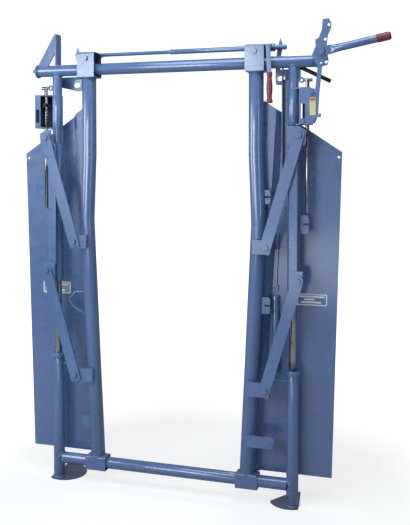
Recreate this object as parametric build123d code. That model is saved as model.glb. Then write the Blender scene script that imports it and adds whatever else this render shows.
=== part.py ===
"""Sliding-stanchion headgate of a cattle squeeze chute, millimetres, +Z up, animal side at +Y.

Everything is laid out about the middle of the opening at floor level, and the whole gate is
then moved so that its origin is the middle of the bottom of its bounding box.
"""
from build123d import *
import os
from math import atan2, degrees, hypot, sqrt

os.makedirs("parts", exist_ok=True)

# ---- frame -----------------------------------------------------------------------------------
POST_X = 544.0              # middle of the opening to a post's axis
TOP_Z = 1870.0              # axis of the top tube
BOTTOM_Z = 91.0             # axis of the bottom tube
RAIL_R = 25.4               # top and bottom tubes, 2 inch
RAIL_WALL = 4.0
TOP_TUBE_HALF = POST_X + 93.0
LOWER_POST_R = 25.4
LOWER_POST_TOP = 558.0
POST_WALL = 4.0
FOOT_T = 6.0
FOOT_R = 90.0
ANCHOR_R = 7.5
COLLAR_R = LOWER_POST_R + 6.6
COLLAR_T = 19.0
GUIDE_R = 15.875            # polished guide rod, 1 1/4 inch
GUIDE_BURIED = 80.0         # rod length below the lower post's top
UPPER_POST_R = GUIDE_R + 5.225
UPPER_POST_BOTTOM = TOP_Z - 390.0
ROD_LAP = 20.0              # guide rod inside the upper post
FIT = 0.05                  # running fit of a shaft in its hole
SLIP = 0.4                  # free gap between sliding faces
PLAIN_CAP_R = RAIL_R + 2.6
STUD_CAP_R = RAIL_R + 4.6
STUD_R = 7.5
BRACE_FOOT_X = TOP_TUBE_HALF + 11.0
BRACE_PEAK_X = POST_X + 5.0
BRACE_PEAK_Z = TOP_Z + 166.0
BRACE_BAR_T = 8.0
BRACE_Y0 = -16.0            # front and rear edges of the upright leg
BRACE_Y1 = 34.0
BRACE_FLAT_W = 52.0         # slanting leg, measured along X
HOOK_X = POST_X - 66.0      # slot of the hook plate
HOOK_Z = TOP_Z - 60.0
HOOK_GAP = 2.8              # adjusting bar to hook plate
HOOK_T = 6.0
HOOK_SLOT_L = 33.0
HOOK_SLOT_W = 21.0
LUG_T = 8.0
HANGER_X = POST_X - 52.0    # angle iron hung under the top tube
HANGER_T = 4.0
HANGER_BOTTOM = TOP_Z - 467.0

# ---- doors -----------------------------------------------------------------------------------
STANCHION_R = 31.75         # 2 1/2 inch tube
STANCHION_WALL = 3.6
STANCHION_TOP_X = 385.0
STANCHION_KNEE_X = 396.5
STANCHION_FOOT_X = 346.0
STRAIGHT_END_Z = TOP_Z - 380.0
KNEE_Z = TOP_Z - 675.0
BEND_R = 400.0
ROLLER_R = 21.0
ROLLER_W = 28.0
ROLLER_GAP = 0.3
HOUSING_W = 2 * STANCHION_R + 19.5
HOUSING_WALL = 5.0
HOUSING_HALF_Y = RAIL_R + 10.6 + HOUSING_WALL
HOUSING_BELOW = RAIL_R + 6.6 + HOUSING_WALL     # housing bottom below the top tube's axis
HOUSING_ABOVE = RAIL_R + 2 * ROLLER_R + ROLLER_GAP + 2.3 + HOUSING_WALL
AXLE_R = 8.0
SLEEVE_X0 = STANCHION_FOOT_X - STANCHION_R - 13.25
SLEEVE_X1 = STANCHION_FOOT_X + STANCHION_R + 20.25
SLEEVE_WALL = 4.0
SLEEVE_HALF_Y = max(RAIL_R + 2.1 + SLEEVE_WALL, STANCHION_R - 0.25)
SLEEVE_HALF_Z = RAIL_R + 1.6 + SLEEVE_WALL
PANEL_T = 3.0
PANEL_Y = 58.0              # front face of the outer sheet
PANEL_TOP_X = POST_X + 195.0
PANEL_TOP_Z = TOP_Z - 375.0
PANEL_FOOT_X = POST_X + 158.0
PANEL_FOOT_Z = 115.0
PANEL_SLOPE = 0.67
JOGGLE_X = STANCHION_TOP_X + 79.0            # start of the joggle at its reference height
JOGGLE_W = 26.0
JOGGLE_LEAN = 0.06
JOGGLE_Z = TOP_Z - 211.0
CORNER_HOLE_R = 5.0
TAB_Z0 = 247.0              # stop tab near the stanchion's foot
TAB_H = 49.0
KEEPER_T = 8.0
DOOR_KEEPERS = ((TOP_Z - 1059.0, 70.0), (TOP_Z - 594.0, 60.0))
KEEPER_END_X = STANCHION_KNEE_X + STANCHION_R + 19.75
LOOP_TOP = TOP_Z - 1004.0
LOOP_H = 103.0
LOOP_WIRE_R = 4.0
STAY_X = 460.0
STAY_EYE_Z = TOP_Z - 953.0
STAY_TUBE_R = 14.5

# ---- links -----------------------------------------------------------------------------------
LINK_W = 47.0
LINK_T = 9.0
LINK_FRONT_Y = -62.0
UPPER_PIN = (438.0, TOP_Z - 772.0)
LOWER_PIN = (435.0, TOP_Z - 1373.0)
LINK_SPREAD = POST_X + 32.0 - UPPER_PIN[0]
LINK_RISE = 466.0
LINK_PIN_R = 8.0
LINK_GAP = 1.0              # face to face, link to bracket

# ---- carriages -------------------------------------------------------------------------------
SLEEVE_R = UPPER_POST_R + SLIP + 2.65
CARRIAGE_TOP = TOP_Z - 112.0
CARRIAGE_BOTTOM = TOP_Z - 957.0
BUSH_H = 40.0
WINDOW_Z0 = TOP_Z - 334.0
WINDOW_Z1 = TOP_Z - 270.0
CHANNEL_X0 = POST_X - 12.0
CHANNEL_X1 = POST_X + 26.0
CHANNEL_BOTTOM = TOP_Z - 882.0
BRACKET_T = 8.0
CARRIAGE_KEEPER_Z = TOP_Z - 714.0
CARRIAGE_KEEPER_H = 77.0
LATCH_ROD_X = POST_X + 58.0
LATCH_ROD_R = 8.0
LATCH_ROD_Z0 = TOP_Z - 627.0
LATCH_ROD_Z1 = TOP_Z - 77.0
BOX_IN = {1: 28.0, -1: 16.0}    # latch rod's axis to the box's open edge, right and left
FRONT_IN = {1: 28.0, -1: -5.0}  # and to the front plate's inner edge
BOX_HALF_Y = 45.0
BOX_Z0 = TOP_Z - 262.0
BOX_Z1 = TOP_Z - 111.0
BOX_WALL = 4.0
LATCH_HOLE_GAP = 0.8
FRICTION_T = 5.0
FRICTION_COUNT = 3
FRICTION_HALF_Y = 30.0
FRICTION_Z = TOP_Z - 164.0
SPRING_WIRE = 3.0
SPRING_R = LATCH_ROD_R + 1.0 + SPRING_WIRE
BOX_OUT = {1: SPRING_R + 1.0 + BOX_WALL, -1: SPRING_R + 16.0 + BOX_WALL}    # and to its outer face
PLATE_T = 6.0               # upright and selector plates
PLATE_FACE_Y = -BOX_HALF_Y - PLATE_T

# ---- handle and width lock -------------------------------------------------------------------
HANDLE_PIVOT = (POST_X + 124.0, TOP_Z + 30.0)
HANDLE_END = (HANDLE_PIVOT[0] + 272.0, HANDLE_PIVOT[1] + 52.0)
HANDLE_R = 16.0
HANDLE_Y = -51.0
HANDLE_FLAT_T = 10.0
GRIP_R = 18.0
GRIP_L = 58.0
BAR_THIN_R = 8.0
BAR_THICK_R = 10.9
BAR_Y = HOUSING_HALF_Y + BAR_THICK_R + SLIP     # adjusting bar behind the housings
BAR_Z = TOP_Z + HOUSING_ABOVE - 4.0
BAR_STEP_X = -16.0
BAR_END_X = POST_X - 40.0
LEVER_X0 = STANCHION_TOP_X + 51.0
LEVER_W = 18.0
LEVER_T = 8.0
LEVER_Y = -HOUSING_HALF_Y - 4.0 - LEVER_T / 2     # middle of the leg's thickness
LEVER_LEAN = 6.0
LEVER_DROP_Z = TOP_Z - 45.0
LEVER_GRIP_Z = TOP_Z - 173.0
LEVER_GRIP_R = 14.0


def block(x0, x1, y0, y1, z0, z1):
    """A box between two corners."""
    size = Box(abs(x1 - x0), abs(y1 - y0), abs(z1 - z0))
    return Pos((x0 + x1) / 2, (y0 + y1) / 2, (z0 + z1) / 2) * size


def rod(start, end, radius):
    """A round bar between two points."""
    start, end = Vector(*start), Vector(*end)
    plane = Plane(origin=start, z_dir=end - start)
    return Solid.make_cylinder(radius, (end - start).length, plane)


def pipe(start, end, radius, wall):
    """A round tube between two points, open at both ends."""
    return rod(start, end, radius) - rod(start, end, radius - wall)


def plate_xz(points, y0, y1):
    """A flat plate with its outline given in X and Z."""
    wire = Wire.make_polygon([(x, y0, z) for x, z in points], close=True)
    return extrude(Face(wire), amount=y1 - y0, dir=(0, 1, 0))


def outline_at(x, z, offsets):
    """An outline's points from a reference point."""
    return [(x + dx, z + dz) for dx, dz in offsets]


def bolt(x, y, z, radius, length, head_across, head_h):
    """A hex bolt pointing away from the viewer, its head's underside at y, with a washer."""
    plane = Plane(origin=(x, y, z), x_dir=(1, 0, 0), z_dir=(0, -1, 0))
    washer_t = 2.0
    head = extrude(plane.offset(washer_t) * RegularPolygon(head_across / 2, 6, major_radius=False), head_h)
    washer = extrude(plane * Circle(head_across * 0.62), washer_t)
    return head + washer + rod((x, y - washer_t, z), (x, y + length, z), radius)


def mirrored(shape):
    """The same piece for the left side."""
    return mirror(shape, about=Plane.YZ)


def stanchion_x(z):
    """Middle of the right stanchion at a height."""
    if z >= STRAIGHT_END_Z:
        return STANCHION_TOP_X
    if z >= KNEE_Z:
        share = (STRAIGHT_END_Z - z) / (STRAIGHT_END_Z - KNEE_Z)
        return STANCHION_TOP_X + share * (STANCHION_KNEE_X - STANCHION_TOP_X)
    share = (KNEE_Z - z) / (KNEE_Z - BOTTOM_Z)
    return STANCHION_KNEE_X + share * (STANCHION_FOOT_X - STANCHION_KNEE_X)


HOUSING_Z0 = TOP_Z - HOUSING_BELOW
HOUSING_Z1 = TOP_Z + HOUSING_ABOVE
SLEEVE_TOP = BOTTOM_Z + SLEEVE_HALF_Z
AXLE_Z = TOP_Z + RAIL_R + ROLLER_R + ROLLER_GAP
RAIL_SOLID = rod((-TOP_TUBE_HALF, 0, TOP_Z), (TOP_TUBE_HALF, 0, TOP_Z), RAIL_R)
LINK_REAR_Y = LINK_FRONT_Y + LINK_T


def post_solid(radius):
    """The right post's line as a full-height bar, for cutting what meets it."""
    return rod((POST_X, 0, 0), (POST_X, 0, TOP_Z), radius)


BRACKET_FRONT_Y = LINK_REAR_Y + LINK_GAP
SLEEVE_SOLID = post_solid(SLEEVE_R)


# ---- frame pieces ----------------------------------------------------------------------------
def lower_post():
    return pipe((POST_X, 0, FOOT_T), (POST_X, 0, LOWER_POST_TOP), LOWER_POST_R, POST_WALL)


def collar():
    """Stop ring on the lower post, bored for the guide rod."""
    ring = rod((POST_X, 0, LOWER_POST_TOP), (POST_X, 0, LOWER_POST_TOP + COLLAR_T), COLLAR_R)
    ring = chamfer(ring.edges().filter_by(GeomType.CIRCLE), 1.5)
    return ring - rod((POST_X, 0, 0), (POST_X, 0, TOP_Z), GUIDE_R + FIT)


def guide_rod():
    top = UPPER_POST_BOTTOM + ROD_LAP
    return rod((POST_X, 0, LOWER_POST_TOP - GUIDE_BURIED), (POST_X, 0, top), GUIDE_R)


def upper_post():
    """Tube hung from the top tube, coped to it, with the guide rod in its bore."""
    outer = rod((POST_X, 0, UPPER_POST_BOTTOM), (POST_X, 0, TOP_Z), UPPER_POST_R)
    bore = rod((POST_X, 0, UPPER_POST_BOTTOM - 1), (POST_X, 0, TOP_Z), GUIDE_R + FIT)
    return outer - bore - RAIL_SOLID


def foot_plate(side):
    """Half-moon foot with an anchor hole behind the post; the right one is cut on both sides."""
    middle = Vector(POST_X - 16.0, 50.0)
    anchor = Vector(POST_X + 2.0, 84.0)
    disc = rod((middle.X, middle.Y, 0), (middle.X, middle.Y, FOOT_T), FOOT_R)
    trims = [[(44.4, -150), (44.4, 150), (150, 150), (150, -150)]]
    if side > 0:
        trims.append([(-98, -60), (12, 100), (-128, 150)])
        trims.append([(44.4, -40), (26, 110), (120, 110), (120, -40)])
    for offsets in trims:
        points = [(middle.X + dx, middle.Y + dy, -1) for dx, dy in offsets]
        disc -= extrude(Face(Wire.make_polygon(points, close=True)), amount=FOOT_T + 2, dir=(0, 0, 1))
    disc -= rod((anchor.X, anchor.Y, -1), (anchor.X, anchor.Y, FOOT_T + 1), ANCHOR_R)
    return disc if side > 0 else mirrored(disc)


def bottom_tube():
    inner = POST_X - LOWER_POST_R + 4
    tube = pipe((-inner, 0, BOTTOM_Z), (inner, 0, BOTTOM_Z), RAIL_R, RAIL_WALL)
    for side in (-1, 1):
        tube -= rod((side * POST_X, 0, 0), (side * POST_X, 0, LOWER_POST_TOP), LOWER_POST_R)
    return tube


def end_caps():
    """Left: wide disc with a stub bolt. Right: a plain disc."""
    end = TOP_TUBE_HALF
    left = rod((-end, 0, TOP_Z), (-end - 6, 0, TOP_Z), STUD_CAP_R)
    left += rod((-end - 5, 0, TOP_Z + 3), (-end - 28, 0, TOP_Z + 3), STUD_R)
    right = rod((end, 0, TOP_Z), (end + 4, 0, TOP_Z), PLAIN_CAP_R)
    return [left, right]


def corner_brace():
    """An upright flat bar and a slanting one across its front edge, coped to the top tube."""
    slope = (BRACE_FOOT_X - BRACE_PEAK_X) / (BRACE_PEAK_Z - TOP_Z)
    inner_foot = BRACE_FOOT_X - BRACE_FLAT_W
    meeting_z = TOP_Z + (inner_foot - BRACE_PEAK_X) / slope
    slanting = plate_xz(
        [
            (-BRACE_FOOT_X, TOP_Z),
            (-BRACE_PEAK_X, BRACE_PEAK_Z),
            (-BRACE_PEAK_X, meeting_z),
            (-inner_foot, TOP_Z),
        ],
        BRACE_Y0,
        BRACE_Y0 + BRACE_BAR_T,
    )
    upright = block(-BRACE_PEAK_X, BRACE_BAR_T - BRACE_PEAK_X, BRACE_Y0, BRACE_Y1, TOP_Z, BRACE_PEAK_Z)
    cap = rod((-TOP_TUBE_HALF, 0, TOP_Z), (-TOP_TUBE_HALF - 40, 0, TOP_Z), STUD_CAP_R)
    brace = slanting + upright - RAIL_SOLID - cap
    return brace - block(-BRACE_FOOT_X - 20, 0, -60, 60, TOP_Z - 60, TOP_Z + 6)


def hook_plate():
    """Rear plate with an oval slot and a horn, bent forward to the upper post."""
    outer = POST_X + 18.0 - HOOK_X
    y0 = BAR_Y + BAR_THICK_R + HOOK_GAP
    offsets = [
        (outer, 38), (outer, -8), (22, -22), (2, -28), (-20, -27), (-24, -10),
        (-24, 83), (-12, 142), (-4, 175), (8, 140), (-4, 83), (-4, 38),
    ]
    plate = plate_xz(outline_at(HOOK_X, HOOK_Z, offsets), y0, y0 + HOOK_T)
    slot_plane = Plane(origin=(HOOK_X, y0 - 1, HOOK_Z), x_dir=(1, 0, 0), z_dir=(0, 1, 0))
    plate -= extrude(slot_plane * SlotOverall(HOOK_SLOT_L, HOOK_SLOT_W), HOOK_T + 2)
    end = HOOK_X + outer
    flange = block(end - HOOK_T, end, 8, y0, HOOK_Z - 8, HOOK_Z + 32)
    return plate + flange - post_solid(UPPER_POST_R)


def rod_lug():
    """Eye and stem between the upper post and the latch rod's cross head."""
    eye_x, half, z = POST_X + UPPER_POST_R + 12, LUG_T / 2, LATCH_ROD_Z1
    ring = rod((eye_x, -half, z), (eye_x, half, z), 12.5)
    ring -= rod((eye_x, -half - 1, z), (eye_x, half + 1, z), 6.0)
    stem = block(eye_x + 10, LATCH_ROD_X - 10, -half, half, z - 5, z + 5)
    return ring + stem - post_solid(UPPER_POST_R)


def latch_rod():
    """Bright rod hung from its cross head."""
    head = rod((LATCH_ROD_X - 10, 0, LATCH_ROD_Z1), (LATCH_ROD_X + 20, 0, LATCH_ROD_Z1), 7.5)
    return rod((LATCH_ROD_X, 0, LATCH_ROD_Z0), (LATCH_ROD_X, 0, LATCH_ROD_Z1), LATCH_ROD_R) + head


def rear_bar():
    """Round bar slanting down behind the top tube's right end."""
    bar_r, bar_y = 8.5, 22.0
    return rod((POST_X + 22, bar_y, TOP_Z - 20), (POST_X + 150, bar_y, TOP_Z - 83), bar_r) - RAIL_SOLID


def straps():
    """Angle iron under the top tube, right side, and a thin stop strap on each lower post."""
    y0, y1 = 8.0, 34.0
    hanger = block(HANGER_X, HANGER_X + HANGER_T, y0, y1, HANGER_BOTTOM, TOP_Z)
    hanger += block(HANGER_X, POST_X - 26, y1 - HANGER_T, y1, HANGER_BOTTOM, TOP_Z - 70)
    stop_z = LOWER_POST_TOP - 29
    stop = block(POST_X - 89, POST_X, -5, 5, stop_z, stop_z + 6) - post_solid(LOWER_POST_R)
    return [hanger - RAIL_SOLID, stop, mirrored(stop)]


# ---- door pieces -----------------------------------------------------------------------------
def stanchion_solid(radius, bottom_z):
    path = FilletPolyline(
        (STANCHION_TOP_X, 0, HOUSING_Z0),
        (STANCHION_TOP_X, 0, STRAIGHT_END_Z),
        (STANCHION_KNEE_X, 0, KNEE_Z),
        (STANCHION_FOOT_X, 0, bottom_z),
        radius=BEND_R,
    )
    start = Plane(origin=path @ 0, z_dir=path % 0)
    return sweep(start * Circle(radius), path=path)


STANCHION_OUTER = stanchion_solid(STANCHION_R, BOTTOM_Z)


def stanchion():
    tube = STANCHION_OUTER - stanchion_solid(STANCHION_R - STANCHION_WALL, BOTTOM_Z)
    return tube - block(0, POST_X, -60, 60, 0, SLEEVE_TOP)


def roller_housing():
    """Folded strap round the top tube, closed below by a saddle on the stanchion."""
    x0 = STANCHION_TOP_X - HOUSING_W / 2
    outer = block(x0, x0 + HOUSING_W, -HOUSING_HALF_Y, HOUSING_HALF_Y, HOUSING_Z0, HOUSING_Z1)
    along_x = outer.edges().filter_by(Axis.X).group_by(Axis.Z)[-1]
    outer = fillet(along_x, 9.0)
    inner_y = HOUSING_HALF_Y - HOUSING_WALL
    z0, z1 = HOUSING_Z0 + HOUSING_WALL, HOUSING_Z1 - HOUSING_WALL
    inner = block(x0 - 1, x0 + HOUSING_W + 1, -inner_y, inner_y, z0, z1)
    inner = fillet(inner.edges().filter_by(Axis.X).group_by(Axis.Z)[-1], 4.0)
    axle_hole = rod((STANCHION_TOP_X, -60, AXLE_Z), (STANCHION_TOP_X, 60, AXLE_Z), AXLE_R + FIT)
    return outer - inner - axle_hole


def roller_axle():
    axle = bolt(STANCHION_TOP_X, -HOUSING_HALF_Y, AXLE_Z, AXLE_R, 2 * HOUSING_HALF_Y - 2, 22, 6)
    spacer_y = ROLLER_W / 2 + SLIP
    for side in (-1, 1):
        near, far = side * spacer_y, side * (HOUSING_HALF_Y - HOUSING_WALL)
        axle += rod((STANCHION_TOP_X, near, AXLE_Z), (STANCHION_TOP_X, far, AXLE_Z), 12.0)
    return axle


def roller():
    """Wheel that runs along the top of the tube."""
    wheel = rod((STANCHION_TOP_X, -ROLLER_W / 2, AXLE_Z), (STANCHION_TOP_X, ROLLER_W / 2, AXLE_Z), ROLLER_R)
    wheel = chamfer(wheel.edges().filter_by(GeomType.CIRCLE), 1.5)
    return wheel - rod((STANCHION_TOP_X, -60, AXLE_Z), (STANCHION_TOP_X, 60, AXLE_Z), AXLE_R + FIT)


def bottom_sleeve():
    z0, z1 = BOTTOM_Z - SLEEVE_HALF_Z, SLEEVE_TOP
    outer = block(SLEEVE_X0, SLEEVE_X1, -SLEEVE_HALF_Y, SLEEVE_HALF_Y, z0, z1)
    outer = fillet(outer.edges().filter_by(Axis.X), 5.0)
    inner_y = SLEEVE_HALF_Y - SLEEVE_WALL
    inner = block(SLEEVE_X0 - 1, SLEEVE_X1 + 1, -inner_y, inner_y, z0 + SLEEVE_WALL, z1 - SLEEVE_WALL)
    return outer - inner


def panel():
    """Sheet joggled forward to the stanchion along a leaning line, cut to its outline."""
    flange_y = max(SLEEVE_HALF_Y, STANCHION_R) + 0.35
    start_z = PANEL_FOOT_Z - 50
    reach = TOP_Z - start_z
    first = JOGGLE_X - JOGGLE_LEAN * (JOGGLE_Z - start_z)
    section = [
        (first - 300, flange_y),
        (first, flange_y),
        (first + JOGGLE_W, PANEL_Y),
        (first + 600, PANEL_Y),
        (first + 600, PANEL_Y + PANEL_T),
        (first + JOGGLE_W - 1.5, PANEL_Y + PANEL_T),
        (first - 1.5, flange_y + PANEL_T),
        (first - 300, flange_y + PANEL_T),
    ]
    wire = Wire.make_polygon([(x, y, start_z) for x, y in section], close=True)
    length = reach * hypot(1, JOGGLE_LEAN)
    sheet = extrude(Face(wire), amount=length, dir=(JOGGLE_LEAN, 0, 1))
    inner_top_z = PANEL_TOP_Z + PANEL_SLOPE * (PANEL_TOP_X - STANCHION_TOP_X)
    outline = [
        (STANCHION_TOP_X, inner_top_z),
        (PANEL_TOP_X, PANEL_TOP_Z),
        (PANEL_FOOT_X, PANEL_FOOT_Z),
        (stanchion_x(PANEL_FOOT_Z), PANEL_FOOT_Z),
        (STANCHION_KNEE_X, KNEE_Z),
        (STANCHION_TOP_X, STRAIGHT_END_Z),
    ]
    cut = plate_xz(outline, 0, 100)
    hole_x, hole_z = PANEL_TOP_X - 14, PANEL_TOP_Z - 21
    hole = rod((hole_x, 0, hole_z), (hole_x, 100, hole_z), CORNER_HOLE_R)
    return (sheet & cut) - hole


def link_bracket(pin):
    """Plate on the front of the stanchion that carries a link's lower pin."""
    x, z = pin
    inner = stanchion_x(z) - 12
    plate = block(inner, x + 20, BRACKET_FRONT_Y, BRACKET_FRONT_Y + 10, z - 30, z + 30)
    plate = fillet(plate.edges().filter_by(Axis.Y), 6.0)
    web = block(inner, stanchion_x(z) + STANCHION_R, BRACKET_FRONT_Y + 10, 0, z - 26, z + 26)
    hole = rod((x, -100, z), (x, 0, z), LINK_PIN_R + FIT)
    return plate + web - STANCHION_OUTER - hole


def door_tab(side):
    """Stop tab near the foot of the stanchion: in front and bolted on the right, in line on the left."""
    z0, z1 = TAB_Z0, TAB_Z0 + TAB_H
    inner = stanchion_x(z0) - 4
    if side < 0:
        tab = block(inner, inner + 76, -4, 5, z0, z1)
        return [fillet(tab.edges().filter_by(Axis.Y).group_by(Axis.X)[-1], 6.0) - STANCHION_OUTER]
    x_end, front_y = inner + 123, -40.0
    tab = block(inner, x_end, front_y, front_y + 9, z0, z1)
    tab = fillet(tab.edges().filter_by(Axis.Y).group_by(Axis.X)[-1], 14.0)
    web = block(inner, inner + 4 + STANCHION_R, front_y + 9, 0, z0 + 4, z1 - 4)
    return [tab + web - STANCHION_OUTER, bolt(x_end - 14, front_y, (z0 + z1) / 2 - 6, 5.0, 0, 13, 5)]


def keeper(x0, x1, z0, height, y0):
    """Rounded plate with an open slot in its free edge."""
    y1, slot_l, half_slot = y0 + KEEPER_T, 24.0, 4.0
    plate = block(x0, x1, y0, y1, z0, z0 + height)
    plate = fillet(plate.edges().filter_by(Axis.Y).group_by(Axis.X)[-1], 12.0)
    middle = z0 + height / 2
    return plate - block(x1 - slot_l, x1 + 1, y0 - 1, y1 + 1, middle - half_slot, middle + half_slot)


def door_keepers():
    solids = []
    for z0, height in DOOR_KEEPERS:
        inner = stanchion_x(z0 + height / 2)
        solids.append(keeper(inner, KEEPER_END_X, z0, height, -KEEPER_T / 2) - STANCHION_OUTER)
    return solids


def wire_loop():
    """Bent wire handle on the left stanchion."""
    z1 = LOOP_TOP - LOOP_H
    start, end = -stanchion_x(LOOP_TOP) - 20, -stanchion_x(z1) - 20
    path = FilletPolyline(
        (start, -6, LOOP_TOP),
        (start - 49, -14, LOOP_TOP),
        (start - 81, -18, LOOP_TOP - 36),
        (start - 59, -16, LOOP_TOP - 70),
        (end, -6, z1),
        radius=9.0,
    )
    loop = sweep(Plane(origin=path @ 0, z_dir=path % 0) * Circle(LOOP_WIRE_R), path=path)
    return loop - mirrored(STANCHION_OUTER)


def panel_stay():
    """Flat bar with an eye, and the short tube under it, on the right panel's front."""
    y0, eye_z, lean = PANEL_Y - 7, STAY_EYE_Z, 9.0
    bar_l, half_w = 235.0, 6.0
    bar = plate_xz(
        [
            (STAY_X - half_w + lean, eye_z + bar_l),
            (STAY_X + half_w + lean, eye_z + bar_l),
            (STAY_X + half_w, eye_z + 8),
            (STAY_X - half_w, eye_z + 8),
        ],
        y0,
        PANEL_Y,
    )
    eye = rod((STAY_X, y0, eye_z), (STAY_X, PANEL_Y, eye_z), 13.0)
    eye -= rod((STAY_X, y0 - 1, eye_z), (STAY_X, PANEL_Y + 1, eye_z), 6.0)
    tube_y, tube_top, tube_l = PANEL_Y - STAY_TUBE_R, eye_z - 35, 322.0
    tube = pipe((STAY_X + 1, tube_y, tube_top), (STAY_X + 1, tube_y, tube_top - tube_l), STAY_TUBE_R, 3.0)
    return [bar + eye, tube]


def adjusting_bar():
    """Thin rod stepping up to a thick one, on a lug behind the left housing."""
    start = -STANCHION_TOP_X - HOUSING_W / 2
    thin = rod((start, BAR_Y, BAR_Z), (BAR_STEP_X, BAR_Y, BAR_Z), BAR_THIN_R)
    thick = rod((BAR_STEP_X, BAR_Y, BAR_Z), (BAR_END_X, BAR_Y, BAR_Z), BAR_THICK_R)
    lug = block(start, start + HOUSING_W, HOUSING_HALF_Y, BAR_Y, BAR_Z - 14, BAR_Z - 4)
    return thin + thick + lug


def bar_guide():
    """Eye that carries the adjusting bar, welded to the right housing's outer edge."""
    x0 = STANCHION_TOP_X + HOUSING_W / 2
    x1 = LEVER_X0 - SLIP
    eye = rod((x0, BAR_Y, BAR_Z), (x1, BAR_Y, BAR_Z), BAR_THICK_R + 6.5)
    arm = block(x0, x1, HOUSING_HALF_Y - HOUSING_WALL, BAR_Y, BAR_Z - 40, BAR_Z - 6)
    bore = rod((x0 - 1, BAR_Y, BAR_Z), (x1 + 1, BAR_Y, BAR_Z), BAR_THICK_R + SLIP)
    foot = block(x0 - 30, x0, HOUSING_HALF_Y, HOUSING_HALF_Y + 5, BAR_Z - 40, BAR_Z - 16)
    return eye + arm + foot - bore


def lock_lever():
    """Ring on the adjusting bar, an arm over the top tube and a leg down its front."""
    x1 = LEVER_X0 + LEVER_W
    ring = rod((LEVER_X0, BAR_Y, BAR_Z), (x1, BAR_Y, BAR_Z), BAR_THICK_R + 6.0)
    arm = block(LEVER_X0, x1, LEVER_Y, BAR_Y - BAR_THICK_R, BAR_Z - LEVER_T, BAR_Z)
    outline = [
        (LEVER_X0, BAR_Z),
        (x1, BAR_Z),
        (x1 + LEVER_LEAN, LEVER_DROP_Z),
        (LEVER_X0 + LEVER_LEAN, LEVER_DROP_Z),
    ]
    leg = plate_xz(outline, LEVER_Y - LEVER_T / 2, LEVER_Y + LEVER_T / 2)
    bore = rod((LEVER_X0 - 1, BAR_Y, BAR_Z), (x1 + 1, BAR_Y, BAR_Z), BAR_THICK_R + SLIP)
    return ring + arm + leg - bore


def lock_grip():
    """Grip at the end of the lever's leg."""
    x = LEVER_X0 + LEVER_W / 2 + LEVER_LEAN + 1
    grip = rod((x, LEVER_Y, LEVER_DROP_Z - SLIP), (x, LEVER_Y, LEVER_GRIP_Z), LEVER_GRIP_R)
    return fillet(grip.edges().filter_by(GeomType.CIRCLE), 5.0)


# ---- links -----------------------------------------------------------------------------------
LINK_ANGLE = degrees(atan2(LINK_SPREAD, LINK_RISE))
LINK_L = hypot(LINK_SPREAD, LINK_RISE)


def link(pin):
    """Flat bar from a door pin up to the carriage pin, round at the top."""
    half, below = LINK_W / 2, 27.0
    bar = block(-half, half, LINK_FRONT_Y, LINK_REAR_Y, -below, LINK_L)
    bar = fillet(bar.edges().filter_by(Axis.Y).group_by(Axis.Z)[0], 5.0)
    bar += rod((0, LINK_FRONT_Y, LINK_L), (0, LINK_REAR_Y, LINK_L), half)
    for height in (0, LINK_L):
        bar -= rod((0, -100, height), (0, 0, height), LINK_PIN_R + FIT)
    return Pos(pin[0], 0, pin[1]) * Rot(0, LINK_ANGLE, 0) * bar


def link_bolts(pin):
    """Lower bolt through the bracket, and the upper one, which ends flush with the link."""
    x, z = pin
    top = bolt(x + LINK_SPREAD, LINK_FRONT_Y, z + LINK_RISE, LINK_PIN_R, LINK_T, 24, 7)
    return [bolt(x, LINK_FRONT_Y, z, LINK_PIN_R, LINK_T + LINK_GAP + 10, 24, 7), top]


# ---- carriage pieces -------------------------------------------------------------------------
def carriage_sleeve():
    """Sleeve on the upper post, bushed on the guide rod at its foot, open in front of the pivot."""
    body = rod((POST_X, 0, CARRIAGE_BOTTOM), (POST_X, 0, CARRIAGE_TOP), SLEEVE_R)
    bore = rod((POST_X, 0, CARRIAGE_BOTTOM + BUSH_H), (POST_X, 0, CARRIAGE_TOP + 1), UPPER_POST_R + SLIP)
    rod_bore = rod((POST_X, 0, CARRIAGE_BOTTOM - 1), (POST_X, 0, CARRIAGE_TOP), GUIDE_R + FIT)
    window = block(POST_X - 40, POST_X + 40, -40, -2, WINDOW_Z0, WINDOW_Z1)
    return body - bore - rod_bore - window


def link_channel(side):
    """Square tube down the sleeve's front, with the two pivot brackets."""
    y0, y1 = BRACKET_FRONT_Y, BRACKET_FRONT_Y + BRACKET_T
    tube = block(CHANNEL_X0, CHANNEL_X1, -46, -12, CHANNEL_BOTTOM, WINDOW_Z0)
    tube = fillet(tube.edges().filter_by(Axis.Z), 4.0)
    edge = POST_X - 17 if side > 0 else POST_X + 8
    top_x, low_x = UPPER_PIN[0] + LINK_SPREAD, LOWER_PIN[0] + LINK_SPREAD
    low_z = LOWER_PIN[1] + LINK_RISE
    upper = [
        (edge, WINDOW_Z0 - 14), (edge, WINDOW_Z1), (top_x, WINDOW_Z1),
        (top_x + 30, WINDOW_Z1 - 18), (top_x + 26, WINDOW_Z0 - 14),
    ]
    carriage = tube - SLEEVE_SOLID + plate_xz(upper, y0, y1)
    carriage += block(POST_X - 8, low_x + 20, y0, y1, low_z - 28, low_z + 40)
    return carriage + (block(POST_X - 4, POST_X + 8, y1, -12, low_z - 28, low_z + 20) - SLEEVE_SOLID)


def carriage_keeper():
    """Slotted plate on the right sleeve's outer side."""
    plate = keeper(POST_X + 10, POST_X + 66, CARRIAGE_KEEPER_Z, CARRIAGE_KEEPER_H, -KEEPER_T)
    return plate - SLEEVE_SOLID


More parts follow.
